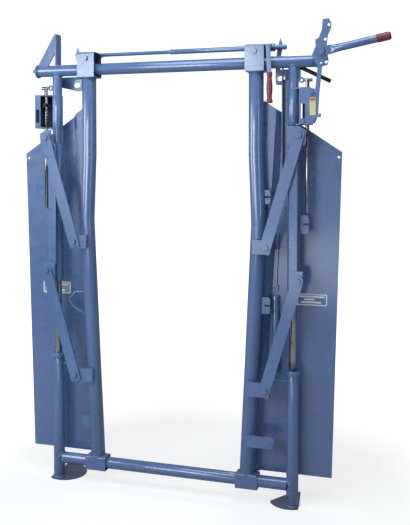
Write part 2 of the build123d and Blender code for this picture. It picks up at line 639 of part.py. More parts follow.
def latch_box(side):
    """Housing for the friction plates, open towards the post, coped to the sleeve."""
    wall = BOX_WALL
    x0, x1 = LATCH_ROD_X - BOX_IN[side], LATCH_ROD_X + BOX_OUT[side]
    front_x = LATCH_ROD_X - FRONT_IN[side]
    box = block(x1 - wall, x1, -BOX_HALF_Y, BOX_HALF_Y, BOX_Z0, BOX_Z1)
    front = block(front_x, x1, -BOX_HALF_Y, -BOX_HALF_Y + wall, BOX_Z0, BOX_Z1)
    middle = (front_x + x1) / 2 - (6 if side > 0 else 0)
    front -= block(middle - 9, middle + 9, -60, 0, BOX_Z0 + 24, BOX_Z0 + 84)
    box += front
    box += block(x0, x1, BOX_HALF_Y - wall, BOX_HALF_Y, BOX_Z0, BOX_Z1)
    boss_z = BOX_Z0 + 12
    box += rod((middle, -BOX_HALF_Y - 4, boss_z), (middle, -BOX_HALF_Y, boss_z), 8.0)
    for z in (BOX_Z0, CARRIAGE_TOP - wall):
        box += block(POST_X + 10, x1, -22, 22, z, z + wall)
        box += block(x0, x1, -BOX_HALF_Y, BOX_HALF_Y, z, z + wall)
    hole = rod((LATCH_ROD_X, 0, 0), (LATCH_ROD_X, 0, TOP_Z), LATCH_ROD_R + LATCH_HOLE_GAP)
    return box - SLEEVE_SOLID - hole


def friction_plates():
    solids = []
    hole_r = LATCH_ROD_R + LATCH_HOLE_GAP
    x0, x1 = LATCH_ROD_X - 13, LATCH_ROD_X + 11.5
    for index in range(FRICTION_COUNT):
        z = FRICTION_Z + index * (FRICTION_T + LATCH_HOLE_GAP)
        plate = block(x0, x1, -FRICTION_HALF_Y, FRICTION_HALF_Y, z, z + FRICTION_T)
        solids.append(plate - rod((LATCH_ROD_X, 0, z - 1), (LATCH_ROD_X, 0, z + FRICTION_T + 1), hole_r))
    return solids


def latch_spring():
    z0 = BOX_Z0 + BOX_WALL + 0.3
    return pipe((LATCH_ROD_X, 0, z0), (LATCH_ROD_X, 0, FRICTION_Z - 5), SPRING_R, SPRING_WIRE)


def upright_plate():
    """Flat plate in front of the right latch box, with a slender leg up to the selector."""
    px, pz = HANDLE_PIVOT
    foot = [(-8, 2), (21, 2), (34, 32), (38, 114)]
    leg = [(px + 2, pz - 48), (px - 17, pz - 48)]
    top = [(20, 118), (20, 144), (-8, 144)]
    x = LATCH_ROD_X + BOX_OUT[1]
    outline = outline_at(x, BOX_Z0, foot) + leg + outline_at(x, BOX_Z0, top)
    return plate_xz(outline, PLATE_FACE_Y, -BOX_HALF_Y)


def selector_plate():
    """Notched plate that carries the handle's pivot."""
    y0, y1 = -BOX_HALF_Y, -BOX_HALF_Y + PLATE_T
    offsets = [
        (-9, -62), (22, -54), (26, -34), (20, -8), (18, 21), (22, 64), (36, 96),
        (36, 116), (26, 133), (1, 131), (-2, 90), (-15, 56), (-29, 50), (-27, 24), (-43, -14),
    ]
    plate = plate_xz(outline_at(*HANDLE_PIVOT, offsets), y0, y1)
    for x, z in outline_at(*HANDLE_PIVOT, [(26, 108), (12, 50), (16, -42), (-5, -48)]):
        plate -= rod((x, y0 - 1, z), (x, y1 + 1, z), 6.0)
    px, pz = HANDLE_PIVOT
    return plate - rod((px, y0 - 1, pz), (px, y1 + 1, pz), LINK_PIN_R + FIT)


def carriage_bolts():
    """Handle pivot bolt, two bolts in the upright plate and one in its edge."""
    px, pz = HANDLE_PIVOT
    face = HANDLE_Y - HANDLE_FLAT_T / 2
    pivot = bolt(px, face - SLIP, pz, LINK_PIN_R, PLATE_T - BOX_HALF_Y - face, 24, 7)
    x = LATCH_ROD_X + BOX_OUT[1]
    fixings = outline_at(x, BOX_Z0, [(10, 130), (13, 16)])
    solids = [pivot] + [bolt(bx, PLATE_FACE_Y, bz, 5.0, 0, 16, 6) for bx, bz in fixings]
    edge_y, edge_z = PLATE_FACE_Y + 3, BOX_Z0 + 35
    solids.append(rod((x + 34.8, edge_y, edge_z), (x + 45, edge_y, edge_z), 8.0))
    return solids


# ---- handle ----------------------------------------------------------------------------------
def handle_frame(shape):
    """Places a piece drawn along +X from the pivot at the handle's angle."""
    px, pz = HANDLE_PIVOT
    angle = degrees(atan2(HANDLE_END[1] - pz, HANDLE_END[0] - px))
    return Pos(px, HANDLE_Y, pz) * Rot(0, -angle, 0) * shape


HANDLE_L = hypot(HANDLE_END[0] - HANDLE_PIVOT[0], HANDLE_END[1] - HANDLE_PIVOT[1])


def handle_tube():
    """Tube flattened at the pivot."""
    half_t, flat_w, flat_end, round_start = HANDLE_FLAT_T / 2, 36.0, 38.0, 74.0
    eye = rod((0, -half_t, 0), (0, half_t, 0), flat_w / 2)
    eye += block(0, flat_end, -half_t, half_t, -flat_w / 2, flat_w / 2)
    flat_face = Plane(origin=(flat_end, 0, 0), x_dir=(0, 1, 0), z_dir=(1, 0, 0)) * RectangleRounded(
        HANDLE_FLAT_T, flat_w, HANDLE_FLAT_T / 2 - 0.5
    )
    round_face = Plane(origin=(round_start, 0, 0), x_dir=(0, 1, 0), z_dir=(1, 0, 0)) * Circle(HANDLE_R)
    neck = loft([flat_face, round_face])
    tube = rod((round_start, 0, 0), (HANDLE_L - GRIP_L + 1, 0, 0), HANDLE_R)
    shape = eye + neck + tube - rod((0, -60, 0), (0, 60, 0), LINK_PIN_R + FIT)
    return handle_frame(shape)


def handle_grip():
    grip = rod((HANDLE_L - GRIP_L + 1, 0, 0), (HANDLE_L, 0, 0), GRIP_R)
    return handle_frame(fillet(grip.edges().filter_by(GeomType.CIRCLE).group_by(Axis.X)[-1], 9.0))


# ---- nodes -----------------------------------------------------------------------------------
def pair(make):
    return [make(), mirrored(make())]


nodes = {
    "top_tube": [pipe((-TOP_TUBE_HALF, 0, TOP_Z), (TOP_TUBE_HALF, 0, TOP_Z), RAIL_R, RAIL_WALL)],
    "tube_end_caps": end_caps(),
    "bottom_tube": [bottom_tube()],
    "lower_posts": pair(lower_post),
    "post_collars": pair(collar),
    "guide_rods": pair(guide_rod),
    "upper_posts": pair(upper_post),
    "foot_plates": [foot_plate(-1), foot_plate(1)],
    "corner_brace": [corner_brace()],
    "hook_plates": pair(hook_plate),
    "rod_lugs": pair(rod_lug),
    "latch_rods": pair(latch_rod),
    "rear_bar": [rear_bar()],
    "frame_straps": straps(),
    "adjusting_bar": [adjusting_bar()],
    "wire_loop": [wire_loop()],
    "door_keepers": door_keepers(),
    "panel_stay": panel_stay(),
    "bar_guide": [bar_guide()],
    "lock_lever": [lock_lever()],
    "lock_grip": [lock_grip()],
    "upright_plate": [upright_plate()],
    "selector_plate": [selector_plate()],
    "carriage_bolts": carriage_bolts(),
    "handle_tube": [handle_tube()],
    "handle_grip": [handle_grip()],
}

both_sides = {
    "stanchion": lambda side: [stanchion()],
    "roller_housing": lambda side: [roller_housing()],
    "roller_axle": lambda side: [roller_axle()],
    "roller": lambda side: [roller()],
    "bottom_sleeve": lambda side: [bottom_sleeve()],
    "panel": lambda side: [panel()],
    "link_brackets": lambda side: [link_bracket(UPPER_PIN), link_bracket(LOWER_PIN)],
    "door_tab": lambda side: door_tab(side),
    "upper_link": lambda side: [link(UPPER_PIN)],
    "lower_link": lambda side: [link(LOWER_PIN)],
    "upper_link_bolts": lambda side: link_bolts(UPPER_PIN),
    "lower_link_bolts": lambda side: link_bolts(LOWER_PIN),
    "carriage_sleeve": lambda side: [carriage_sleeve()],
    "link_channel": lambda side: [link_channel(side)] + ([carriage_keeper()] if side > 0 else []),
    "latch_box": lambda side: [latch_box(side)],
    "friction_plates": lambda side: friction_plates(),
    "latch_spring": lambda side: [latch_spring()],
}
for name, make in both_sides.items():
    nodes["right_" + name] = make(1)
    nodes["left_" + name] = [mirrored(shape) for shape in make(-1)]


def solids_of(shapes):
    return [solid for shape in shapes for solid in shape.solids()]


everything = Compound([solid for shapes in nodes.values() for solid in solids_of(shapes)])
box = everything.bounding_box()
shift = Vector(-(box.min.X + box.max.X) / 2, -(box.min.Y + box.max.Y) / 2, -box.min.Z)
print("bounding box", box.size, "shift", shift)

for name, shapes in nodes.items():
    placed = [Pos(*shift) * solid for solid in solids_of(shapes)]
    export_step(placed[0] if len(placed) == 1 else Compound(placed), f"parts/{name}.step")
print(len(nodes), "nodes")
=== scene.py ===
"""Looks of the cattle headgate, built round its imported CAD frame. Metres, in the frame's own axes."""
from math import cos, hypot, pi, radians, sin, sqrt

import bmesh
import bpy
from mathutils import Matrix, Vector


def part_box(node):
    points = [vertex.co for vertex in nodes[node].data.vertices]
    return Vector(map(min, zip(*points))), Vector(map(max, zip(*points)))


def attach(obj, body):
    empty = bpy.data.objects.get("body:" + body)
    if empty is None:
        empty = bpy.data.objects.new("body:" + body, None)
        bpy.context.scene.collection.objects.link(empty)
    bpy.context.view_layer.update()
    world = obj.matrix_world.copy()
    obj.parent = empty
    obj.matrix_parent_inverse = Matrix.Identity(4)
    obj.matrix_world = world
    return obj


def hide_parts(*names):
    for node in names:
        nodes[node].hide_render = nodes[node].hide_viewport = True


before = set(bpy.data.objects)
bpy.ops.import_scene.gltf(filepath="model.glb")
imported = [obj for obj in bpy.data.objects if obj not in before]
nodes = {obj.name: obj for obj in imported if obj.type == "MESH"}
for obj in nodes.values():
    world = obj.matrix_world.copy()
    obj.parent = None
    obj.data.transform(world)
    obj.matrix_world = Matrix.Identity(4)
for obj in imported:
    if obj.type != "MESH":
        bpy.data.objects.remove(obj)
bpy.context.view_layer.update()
SIDES = {"left": -1, "right": 1}


# ---- places read from the frame ----------------------------------------------------------------
def span(node):
    """Lowest corner, highest corner and middle of a CAD node."""
    low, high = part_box(node)
    return low, high, (low + high) / 2


posts_low, posts_high, posts_middle = span("lower_posts")
CENTRE_X, AXIS_Y = posts_middle.x, posts_middle.y
POST_R = (posts_high.y - posts_low.y) / 2
POST_X = posts_high.x - CENTRE_X - POST_R
rail_low, rail_high, rail_middle = span("top_tube")
RAIL_R = (rail_high.y - rail_low.y) / 2
RAIL_Z = rail_middle.z
low_rail = span("bottom_tube")
STANCHION_R = 0.03175
SLEEVE_R = 0.02415
UPPER_POST_R = (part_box("upper_posts")[1].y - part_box("upper_posts")[0].y) / 2


def at(x, y, z):
    """A point measured from the floor midway between the posts."""
    return Vector((CENTRE_X + x, AXIS_Y + y, z))


# ---- camera ------------------------------------------------------------------------------------
def make_camera():
    camera = bpy.data.cameras.new("camera")
    camera.lens = 51.98
    camera.sensor_width = 36.0
    camera.shift_y = -0.141
    seen = bpy.data.objects.new("camera", camera)
    seen.location = at(1.097, -3.135, 1.437)
    seen.rotation_euler = (radians(88.30), 0, radians(16.65))
    bpy.context.scene.collection.objects.link(seen)
    bpy.context.scene.camera = seen


# ---- light and floor ---------------------------------------------------------------------------
def softbox(name, place, aim, width, height, power, colour=(1, 1, 1)):
    """A rectangular lamp turned towards a point."""
    lamp = bpy.data.lights.new(name, "AREA")
    lamp.shape = "RECTANGLE"
    lamp.size, lamp.size_y = width, height
    lamp.energy = power
    lamp.color = colour
    holder = bpy.data.objects.new(name, lamp)
    holder.location = place
    holder.rotation_euler = (Vector(aim) - Vector(place)).to_track_quat("-Z", "Y").to_euler()
    holder.visible_camera = False
    bpy.context.scene.collection.objects.link(holder)


def make_studio():
    world = bpy.data.worlds.new("studio")
    world.use_nodes = True
    tree = world.node_tree
    back = tree.nodes["Background"]
    back.inputs["Color"].default_value = (0.86, 0.95, 1.0, 1)
    ray = tree.nodes.new("ShaderNodeLightPath")
    level = tree.nodes.new("ShaderNodeMapRange")
    level.inputs["To Min"].default_value = 0.21
    level.inputs["To Max"].default_value = 1.2
    tree.links.new(ray.outputs["Is Camera Ray"], level.inputs["Value"])
    tree.links.new(level.outputs["Result"], back.inputs["Strength"])
    bpy.context.scene.world = world
    bpy.context.scene.view_settings.view_transform = "Standard"

    middle = at(0, 0, 1.0)
    sky = (0.86, 0.96, 1.0)
    softbox("housing_light", at(-1.17, -3.1, 2.31), at(-1.17, 0, 2.1), 1.86, 0.3, 17, sky)
    softbox("front_light", at(-1.1, -3.1, 1.55), at(-1.1, 0, 1.5), 1.5, 1.1, 36, sky)
    softbox("left_light", at(-3.0, -1.5, 1.95), at(0, 0, 1.6), 1.6, 1.6, 44, sky)
    softbox("right_light", at(2.4, -1.8, 1.9), at(0, 0, 1.4), 0.3, 1.8, 9, sky)
    softbox("top_light", at(0.2, -1.0, 3.6), middle, 2.6, 1.6, 52, sky)
    softbox("panel_light", at(0.1, -3.0, 0.62), at(0.6, 0, 0.9), 1.3, 0.5, 4.0, sky)
    softbox("back_light", at(0.8, 2.6, 3.9), middle, 2.4, 1.2, 34)


def make_floor():
    size, drop = 9.0, 0.0005
    mesh = bpy.data.meshes.new("floor")
    corners = [(-size, -size, -drop), (size, -size, -drop), (size, size, -drop), (-size, size, -drop)]
    mesh.from_pydata(corners, [], [(0, 1, 2, 3)])
    floor = bpy.data.objects.new("floor", mesh)
    bpy.context.scene.collection.objects.link(floor)
    finish = Finish("pale_floor", roughness=0.85)
    finish.colour(finish.noise_ramp(1.5, (0.33, 0.33, 0.33), (0.37, 0.37, 0.37)))
    finish.shader.inputs["Emission Color"].default_value = (1, 1, 1, 1)
    reach = finish.tree.nodes.new("ShaderNodeVectorMath")
    reach.operation = "LENGTH"
    finish.link(finish.place, reach, "Vector")
    far = finish.ranged(reach.outputs["Value"], 0.66, 1.2, 0.9, 2.2)
    ray = finish.tree.nodes.new("ShaderNodeLightPath")
    seen = finish.ranged(ray.outputs["Is Camera Ray"], 0.03, 1.0, 0.0, 1.0)
    finish.link(finish.product(far, seen), finish.shader, "Emission Strength")
    mesh.materials.append(finish.material)


# ---- finishes ----------------------------------------------------------------------------------
class Finish:
    """A Principled material whose patterns follow object coordinates."""

    def __init__(self, name, **settings):
        self.material = bpy.data.materials.new(name)
        self.material.use_nodes = True
        self.tree = self.material.node_tree
        self.shader = self.tree.nodes["Principled BSDF"]
        for key, value in settings.items():
            self.shader.inputs[key.replace("_", " ").title().replace("Ior", "IOR")].default_value = value
        self.place = self.tree.nodes.new("ShaderNodeTexCoord").outputs["Object"]

    def link(self, output, node, key):
        self.tree.links.new(output, node.inputs[key])

    def stretched(self, scale):
        """Coordinates scaled by axis, for grain that runs one way."""
        mapping = self.tree.nodes.new("ShaderNodeMapping")
        mapping.inputs["Scale"].default_value = scale
        self.link(self.place, mapping, "Vector")
        return mapping.outputs["Vector"]

    def noise(self, scale, detail=3.0, place=None):
        texture = self.tree.nodes.new("ShaderNodeTexNoise")
        texture.inputs["Scale"].default_value = scale
        texture.inputs["Detail"].default_value = detail
        self.link(place or self.place, texture, "Vector")
        return texture.outputs["Fac"]

    def ranged(self, value, low, high, start=0.3, end=0.7):
        """value from start..end taken to low..high."""
        level = self.tree.nodes.new("ShaderNodeMapRange")
        self.link(value, level, "Value")
        for key, number in (("From Min", start), ("From Max", end), ("To Min", low), ("To Max", high)):
            level.inputs[key].default_value = number
        return level.outputs["Result"]

    def product(self, first, second):
        node = self.tree.nodes.new("ShaderNodeMath")
        node.operation = "MULTIPLY"
        self.tree.links.new(first, node.inputs[0])
        self.tree.links.new(second, node.inputs[1])
        return node.outputs["Value"]

    def mixed(self, share, first, second):
        """Two colours, or linked colour outputs, mixed by share."""
        node = self.tree.nodes.new("ShaderNodeMix")
        node.data_type = "RGBA"
        self.tree.links.new(share, node.inputs[0])
        for socket, colour in ((node.inputs[6], first), (node.inputs[7], second)):
            if isinstance(colour, tuple):
                socket.default_value = (*colour, 1)
            else:
                self.tree.links.new(colour, socket)
        return node.outputs[2]

    def noise_ramp(self, scale, first, second):
        return self.mixed(self.ranged(self.noise(scale), 0, 1), first, second)

    def edges(self, radius):
        """1 near an outer edge, 0 on flat metal."""
        rounded = self.tree.nodes.new("ShaderNodeBevel")
        rounded.samples = 4
        rounded.inputs["Radius"].default_value = radius
        plain = self.tree.nodes.new("ShaderNodeNewGeometry")
        turn = self.tree.nodes.new("ShaderNodeVectorMath")
        turn.operation = "DOT_PRODUCT"
        self.tree.links.new(rounded.outputs["Normal"], turn.inputs[0])
        self.tree.links.new(plain.outputs["Normal"], turn.inputs[1])
        return self.ranged(turn.outputs["Value"], 1, 0, 0.86, 0.985)

    def hollows(self, distance):
        """1 in corners and gaps, 0 on open faces: the mask for painted shade."""
        node = self.tree.nodes.new("ShaderNodeAmbientOcclusion")
        node.samples = 8
        node.only_local = True
        node.inputs["Distance"].default_value = distance
        return self.ranged(node.outputs["AO"], 1, 0, 0.25, 0.9)

    def height(self):
        """Object Z in metres."""
        split = self.tree.nodes.new("ShaderNodeSeparateXYZ")
        self.link(self.place, split, "Vector")
        return split.outputs["Z"]

    def colour(self, output):
        self.link(output, self.shader, "Base Color")

    def rough(self, output):
        self.link(output, self.shader, "Roughness")

    def bump(self, output, strength, distance, below=None):
        node = self.tree.nodes.new("ShaderNodeBump")
        node.inputs["Strength"].default_value = strength
        node.inputs["Distance"].default_value = distance
        self.link(output, node, "Height")
        if below is not None:
            self.link(below, node, "Normal")
        self.link(node.outputs["Normal"], self.shader, "Normal")
        return node.outputs["Normal"]


def blue_paint(name, deep, light, waves=0.0):
    """Gloss enamel: slight orange peel, worn edges, dust with painted shade darkening it near the floor,
    and painted shade in hollows.
    """
    paint = Finish(name, coat_weight=0.7, coat_roughness=0.13, coat_ior=1.7, ior=1.6)
    base = paint.noise_ramp(2.2, deep, light)
    mottled = paint.mixed(paint.ranged(paint.noise(38.0, 5.0), 0.0, 0.04), base, (0.060, 0.085, 0.19))
    scuffs = paint.ranged(paint.noise(90.0, 4.0), 0.0, 1.0, 0.46, 0.62)
    worn = paint.product(paint.edges(0.0022), scuffs)
    scuffed = paint.mixed(paint.ranged(worn, 0.0, 0.75, 0.0, 1.0), mottled, (0.23, 0.30, 0.46))
    # darker towards the floor: dust, plus painted shade on the low parts
    near_floor = paint.ranged(paint.height(), 0.4, 0.0, 0.0, 0.20)
    dust_and_shade = paint.product(near_floor, paint.ranged(paint.noise(30.0, 6.0), 0.0, 1.0, 0.42, 0.66))
    dusted_and_shaded = paint.mixed(dust_and_shade, scuffed, (0.085, 0.080, 0.075))
    # painted shade: the paint goes near-black in corners and gaps between a piece's own faces
    hollow_shade = paint.ranged(paint.hollows(0.13), 0.0, 0.82, 0.0, 1.0)
    paint.colour(paint.mixed(hollow_shade, dusted_and_shaded, (0.022, 0.024, 0.036)))
    paint.rough(paint.ranged(paint.noise(24.0, 4.0), 0.23, 0.38))
    peel = paint.bump(paint.noise(420.0, 2.0), 0.10, 0.0004)
    if waves:
        paint.bump(paint.noise(3.2, 1.0), waves, 0.02, below=peel)
    return paint.material


def bright_steel():
    steel = Finish("bright_steel", metallic=1.0)
    drawn = steel.stretched((1.0, 1.0, 0.02))
    streaks = steel.noise(260.0, 3.0, drawn)
    base = steel.mixed(steel.ranged(streaks, 0, 1), (0.40, 0.41, 0.42), (0.56, 0.56, 0.56))
    grease = steel.ranged(steel.noise(14.0, 5.0), 0.0, 0.7, 0.44, 0.66)
    steel.colour(steel.mixed(grease, base, (0.085, 0.072, 0.055)))
    steel.rough(steel.ranged(steel.noise(40.0, 5.0), 0.06, 0.16))
    steel.bump(streaks, 0.15, 0.0003)
    return steel.material


def bare_steel():
    steel = Finish("bare_steel", metallic=1.0)
    base = steel.noise_ramp(55.0, (0.11, 0.11, 0.115), (0.20, 0.20, 0.20))
    oil = steel.ranged(steel.noise(22.0, 5.0), 0.0, 0.7, 0.45, 0.7)
    steel.colour(steel.mixed(oil, base, (0.075, 0.062, 0.05)))
    steel.rough(steel.ranged(steel.noise(80.0, 4.0), 0.28, 0.52))
    steel.bump(steel.noise(600.0, 3.0), 0.2, 0.0002)
    return steel.material


def dark_steel():
    steel = Finish("dark_steel", metallic=0.85)
    base = steel.noise_ramp(60.0, (0.018, 0.018, 0.020), (0.05, 0.05, 0.052))
    worn = steel.product(steel.edges(0.0015), steel.noise(140.0, 4.0))
    steel.colour(steel.mixed(worn, base, (0.22, 0.22, 0.22)))
    steel.rough(steel.ranged(steel.noise(70.0, 4.0), 0.22, 0.45))
    steel.bump(steel.noise(500.0, 3.0), 0.25, 0.0003)
    return steel.material


def red_vinyl():
    vinyl = Finish("red_grip", coat_weight=0.15, coat_roughness=0.3)
    base = vinyl.noise_ramp(35.0, (0.165, 0.022, 0.034), (0.235, 0.036, 0.050))
    hands = vinyl.ranged(vinyl.noise(75.0, 5.0), 0.0, 0.5, 0.5, 0.72)
    vinyl.colour(vinyl.mixed(hands, base, (0.085, 0.018, 0.020)))
    vinyl.rough(vinyl.ranged(vinyl.noise(60.0, 4.0), 0.34, 0.56))
    vinyl.bump(vinyl.noise(900.0, 2.0), 0.22, 0.0003)
    return vinyl.material


def printed(name, first, second):
    """Printed vinyl film of a label, slightly soiled."""
    film = Finish(name, coat_weight=0.3, coat_roughness=0.2)
    film.colour(film.noise_ramp(120.0, first, second))
    film.rough(film.ranged(film.noise(90.0, 4.0), 0.3, 0.5))
    film.bump(film.noise(300.0, 2.0), 0.08, 0.0002)
    return film.material


# ---- mesh helpers ------------------------------------------------------------------------------
def piece_from(name, body, mesh_data, materials, smooth=True):
    """A new piece that rides on a body."""
    mesh = bpy.data.meshes.new(name)
    mesh_data.normal_update()
    mesh_data.to_mesh(mesh)
    mesh_data.free()
    for material in materials:
        mesh.materials.append(material)
    mesh.polygons.foreach_set("use_smooth", [smooth] * len(mesh.polygons))
    piece = bpy.data.objects.new(name, mesh)
    bpy.context.scene.collection.objects.link(piece)
    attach(piece, body)
    return piece


def tube_along(mesh, points, radii, sides, closed=False):
    """Adds a tube of varying radius along a line of points to a bmesh."""
    count = len(points)
    rings = []
    side_way = None
    for index, point in enumerate(points):
        ahead = points[(index + 1) % count] if closed or index < count - 1 else point
        behind = points[index - 1] if closed or index > 0 else point
        way = (ahead - behind).normalized()
        if side_way is None:
            side_way = way.orthogonal().normalized()
        side_way = (side_way - way * side_way.dot(way)).normalized()
        third = way.cross(side_way)
        ring = []
        for step in range(sides):
            angle = 2 * pi * step / sides
            offset = side_way * cos(angle) + third * sin(angle)
            ring.append(mesh.verts.new(point + offset * radii[index]))
        rings.append(ring)
    pairs = list(zip(rings, rings[1:])) + ([(rings[-1], rings[0])] if closed else [])
    for near, far in pairs:
        for step in range(sides):
            after = (step + 1) % sides
            mesh.faces.new((near[step], near[after], far[after], far[step]))
    if not closed:
        mesh.faces.new(list(reversed(rings[0])))
        mesh.faces.new(rings[-1])


def lathe(mesh, start, way, profile, sides=40, flatten=1.0):
    """Adds a turned solid: profile is (distance along the way, radius) pairs. flatten squeezes Y."""
    side_way = way.orthogonal().normalized()
    third = way.cross(side_way)
    rings = []
    for distance, radius in profile:
        ring = []
        for step in range(sides):
            angle = 2 * pi * step / sides
            offset = side_way * cos(angle) + third * sin(angle)
            offset.y *= flatten
            ring.append(mesh.verts.new(start + way * distance + offset * radius))
        rings.append(ring)
    for near, far in zip(rings, rings[1:]):
        for step in range(sides):
            after = (step + 1) % sides
            mesh.faces.new((near[step], near[after], far[after], far[step]))
    mesh.faces.new(list(reversed(rings[0])))
    mesh.faces.new(rings[-1])


def eased(stations, count):
    """Smooth profile through (distance, radius) stations."""
    made = []
    for (x0, r0), (x1, r1) in zip(stations, stations[1:]):
        for step in range(count):
            share = step / count
            blend = share * share * (3 - 2 * share)
            made.append((x0 + (x1 - x0) * share, r0 + (r1 - r0) * blend))
    return made + [stations[-1]]


# ---- welds -------------------------------------------------------------------------------------
BEAD_R = 0.0034
RIPPLE = 0.0045
SAMPLES_PER_RIPPLE = 3
THIN_BEAD_R = 0.0024
BRACE_T, BRACE_Y0 = 0.008, -0.016
HOOK_WELD_Z = (1.804, 1.840)
BRACKET_Z, BRACKET_HALF = (1.098, 0.497), 0.026


def resample(points, spacing, closed):
    """Evenly spaced points along a line."""
    line = points + [points[0]] if closed else points
    lengths = [0.0]
    for near, far in zip(line, line[1:]):
        lengths.append(lengths[-1] + (far - near).length)
    count = max(4, round(lengths[-1] / spacing))
    made, leg = [], 0
    for index in range(count if closed else count + 1):
        along = lengths[-1] * index / count
        while leg < len(line) - 2 and lengths[leg + 1] < along:
            leg += 1
        share = (along - lengths[leg]) / max(lengths[leg + 1] - lengths[leg], 1e-9)
        made.append(line[leg].lerp(line[leg + 1], min(share, 1.0)))
    return made


def weld(mesh, points, closed=False, bead=BEAD_R):
    """A rippled bead of weld metal along a line."""
    spacing = RIPPLE / SAMPLES_PER_RIPPLE
    line = resample(points, spacing, closed)
    radii = []
    for index in range(len(line)):
        phase = (index % SAMPLES_PER_RIPPLE) / SAMPLES_PER_RIPPLE
        end = min(index, len(line) - 1 - index) if not closed else SAMPLES_PER_RIPPLE
        taper = min(1.0, (0.5 + end) / SAMPLES_PER_RIPPLE)
        radii.append(bead * taper * (0.86 + 0.20 * sin(pi * phase)))
    tube_along(mesh, line, radii, 7, closed)


def circle(centre, radius, axis, count=48, start=0.0, turn=2 * pi):
    """Points round a circle; axis is its normal."""
    axis = Vector(axis)
    side_way = axis.orthogonal().normalized()
    third = axis.cross(side_way)
    angles = [start + turn * index / count for index in range(count)]
    return [centre + (side_way * cos(a) + third * sin(a)) * radius for a in angles]


def saddle(centre, branch_r, main_r, up, count=56):
    """Where an upright tube meets a tube along X: up is the sign of the upright's direction."""
    points = []
    for index in range(count):
        angle = 2 * pi * index / count
        x, y = branch_r * cos(angle), branch_r * sin(angle)
        points.append(centre + Vector((x, y, up * sqrt(max(main_r ** 2 - y ** 2, 0)))))
    return points


def make_welds(paint):
    frame_beads = bmesh.new()
    for side in SIDES.values():
        foot = at(side * POST_X, 0, 0)
        plate_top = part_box("foot_plates")[1].z
        weld(frame_beads, circle(foot + Vector((0, 0, plate_top)), POST_R, (0, 0, 1)), True)
        collar_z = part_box("post_collars")[0].z
        weld(frame_beads, circle(foot + Vector((0, 0, collar_z)), POST_R + 0.0005, (0, 0, 1)), True)
        weld(frame_beads, saddle(at(side * POST_X, 0, RAIL_Z), UPPER_POST_R, RAIL_R, -1), True)
        cross = []
        for index in range(56):
            angle = 2 * pi * index / 56
            y, z = RAIL_R * cos(angle), RAIL_R * sin(angle)
            reach = POST_X - sqrt(max(POST_R ** 2 - y ** 2, 0))
            cross.append(at(side * reach, y, low_rail[2].z + z))
        weld(frame_beads, cross, True)
        hook_x, hook_y = side * (POST_X + 0.013), UPPER_POST_R - 0.004
        weld(frame_beads, [at(hook_x, hook_y, z) for z in HOOK_WELD_Z])
    brace_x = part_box("corner_brace")[1].x
    for x in (brace_x, brace_x - BRACE_T):
        arc = []
        for index in range(13):
            y = BRACE_Y0 + (RAIL_R * 0.96 - BRACE_Y0) * index / 12
            arc.append(Vector((x, AXIS_Y + y, RAIL_Z + sqrt(RAIL_R ** 2 - y ** 2))))
        weld(frame_beads, arc)
    piece_from("frame_welds", "frame", frame_beads, [paint])

    for name, side in SIDES.items():
        beads = bmesh.new()
        housing_low, _, housing = span(name + "_roller_housing")
        weld(beads, circle(Vector((housing.x, housing.y, housing_low.z)), STANCHION_R, (0, 0, 1)), True)
        sleeve_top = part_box(name + "_bottom_sleeve")[1].z
        foot = at(side * stanchion_x(sleeve_top), 0, sleeve_top)
        weld(beads, circle(foot, STANCHION_R + 0.0003, (0, 0, 1)), True)
        for z in BRACKET_Z:
            for end in (-BRACKET_HALF, BRACKET_HALF):
                x = stanchion_x(z + end)
                weld(beads, [at(side * (x + 0.002), -STANCHION_R - 0.0005, z + end),
                             at(side * (x + 0.029), -0.0135, z + end)], bead=0.0026)
        piece_from(name + "_door_welds", name + "_door", beads, [paint])

        beads = bmesh.new()
        box_low, box_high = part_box(name + "_latch_box")
        channel_low, channel_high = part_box(name + "_link_channel")
        for x in (-0.0125, 0.0265):
            y = -sqrt(max(SLEEVE_R ** 2 - x ** 2, 0)) - 0.0005
            line = [channel_low.z + 0.004, channel_high.z - 0.066]
            weld(beads, [at(side * (POST_X + x), y, z) for z in line], bead=THIN_BEAD_R)
        for z in (box_low.z, box_high.z - 0.001):
            start, end = at(side * (POST_X + 0.0125), -0.0205, z), at(side * (POST_X + 0.042), -0.0222, z)
            weld(beads, [start, end], bead=THIN_BEAD_R)
        piece_from(name + "_carriage_welds", name + "_carriage", beads, [paint])


def stanchion_x(z):
    """Middle of the stanchion below its knee."""
    knee_x, knee_z, foot_x, foot_z = 0.3965, 1.195, 0.346, 0.091
    return foot_x + (knee_x - foot_x) * (z - foot_z) / (knee_z - foot_z)


# ---- pieces that replace plain CAD nodes -------------------------------------------------------
def make_spring(name, steel):
    """A round-wire compression spring with closed ends."""
    node = name + "_latch_spring"
    low, high, middle = span(node)
    wire_r = 0.0016
    coil_r = (high.x - low.x) / 2 - wire_r
    turns, steps = 8.5, 22
    count = int(turns * steps)
    points = []
    for index in range(count + 1):
        share = index / count
        flat = 1.2 / turns
        lift = min(max((share - flat) / (1 - 2 * flat), 0), 1)
        closing = (share if share < flat else flat) + (max(share - 1 + flat, 0))
        z = low.z + wire_r + (high.z - low.z - 2 * wire_r) * (lift * 0.88 + closing / (2 * flat) * 0.12)
        angle = 2 * pi * turns * share
        points.append(Vector((middle.x + coil_r * cos(angle), middle.y + coil_r * sin(angle), z)))
    mesh = bmesh.new()
    tube_along(mesh, points, [wire_r] * len(points), 10)
    coil = piece_from(name + "_coil_spring", name + "_carriage", mesh, [steel])
    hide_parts(node)


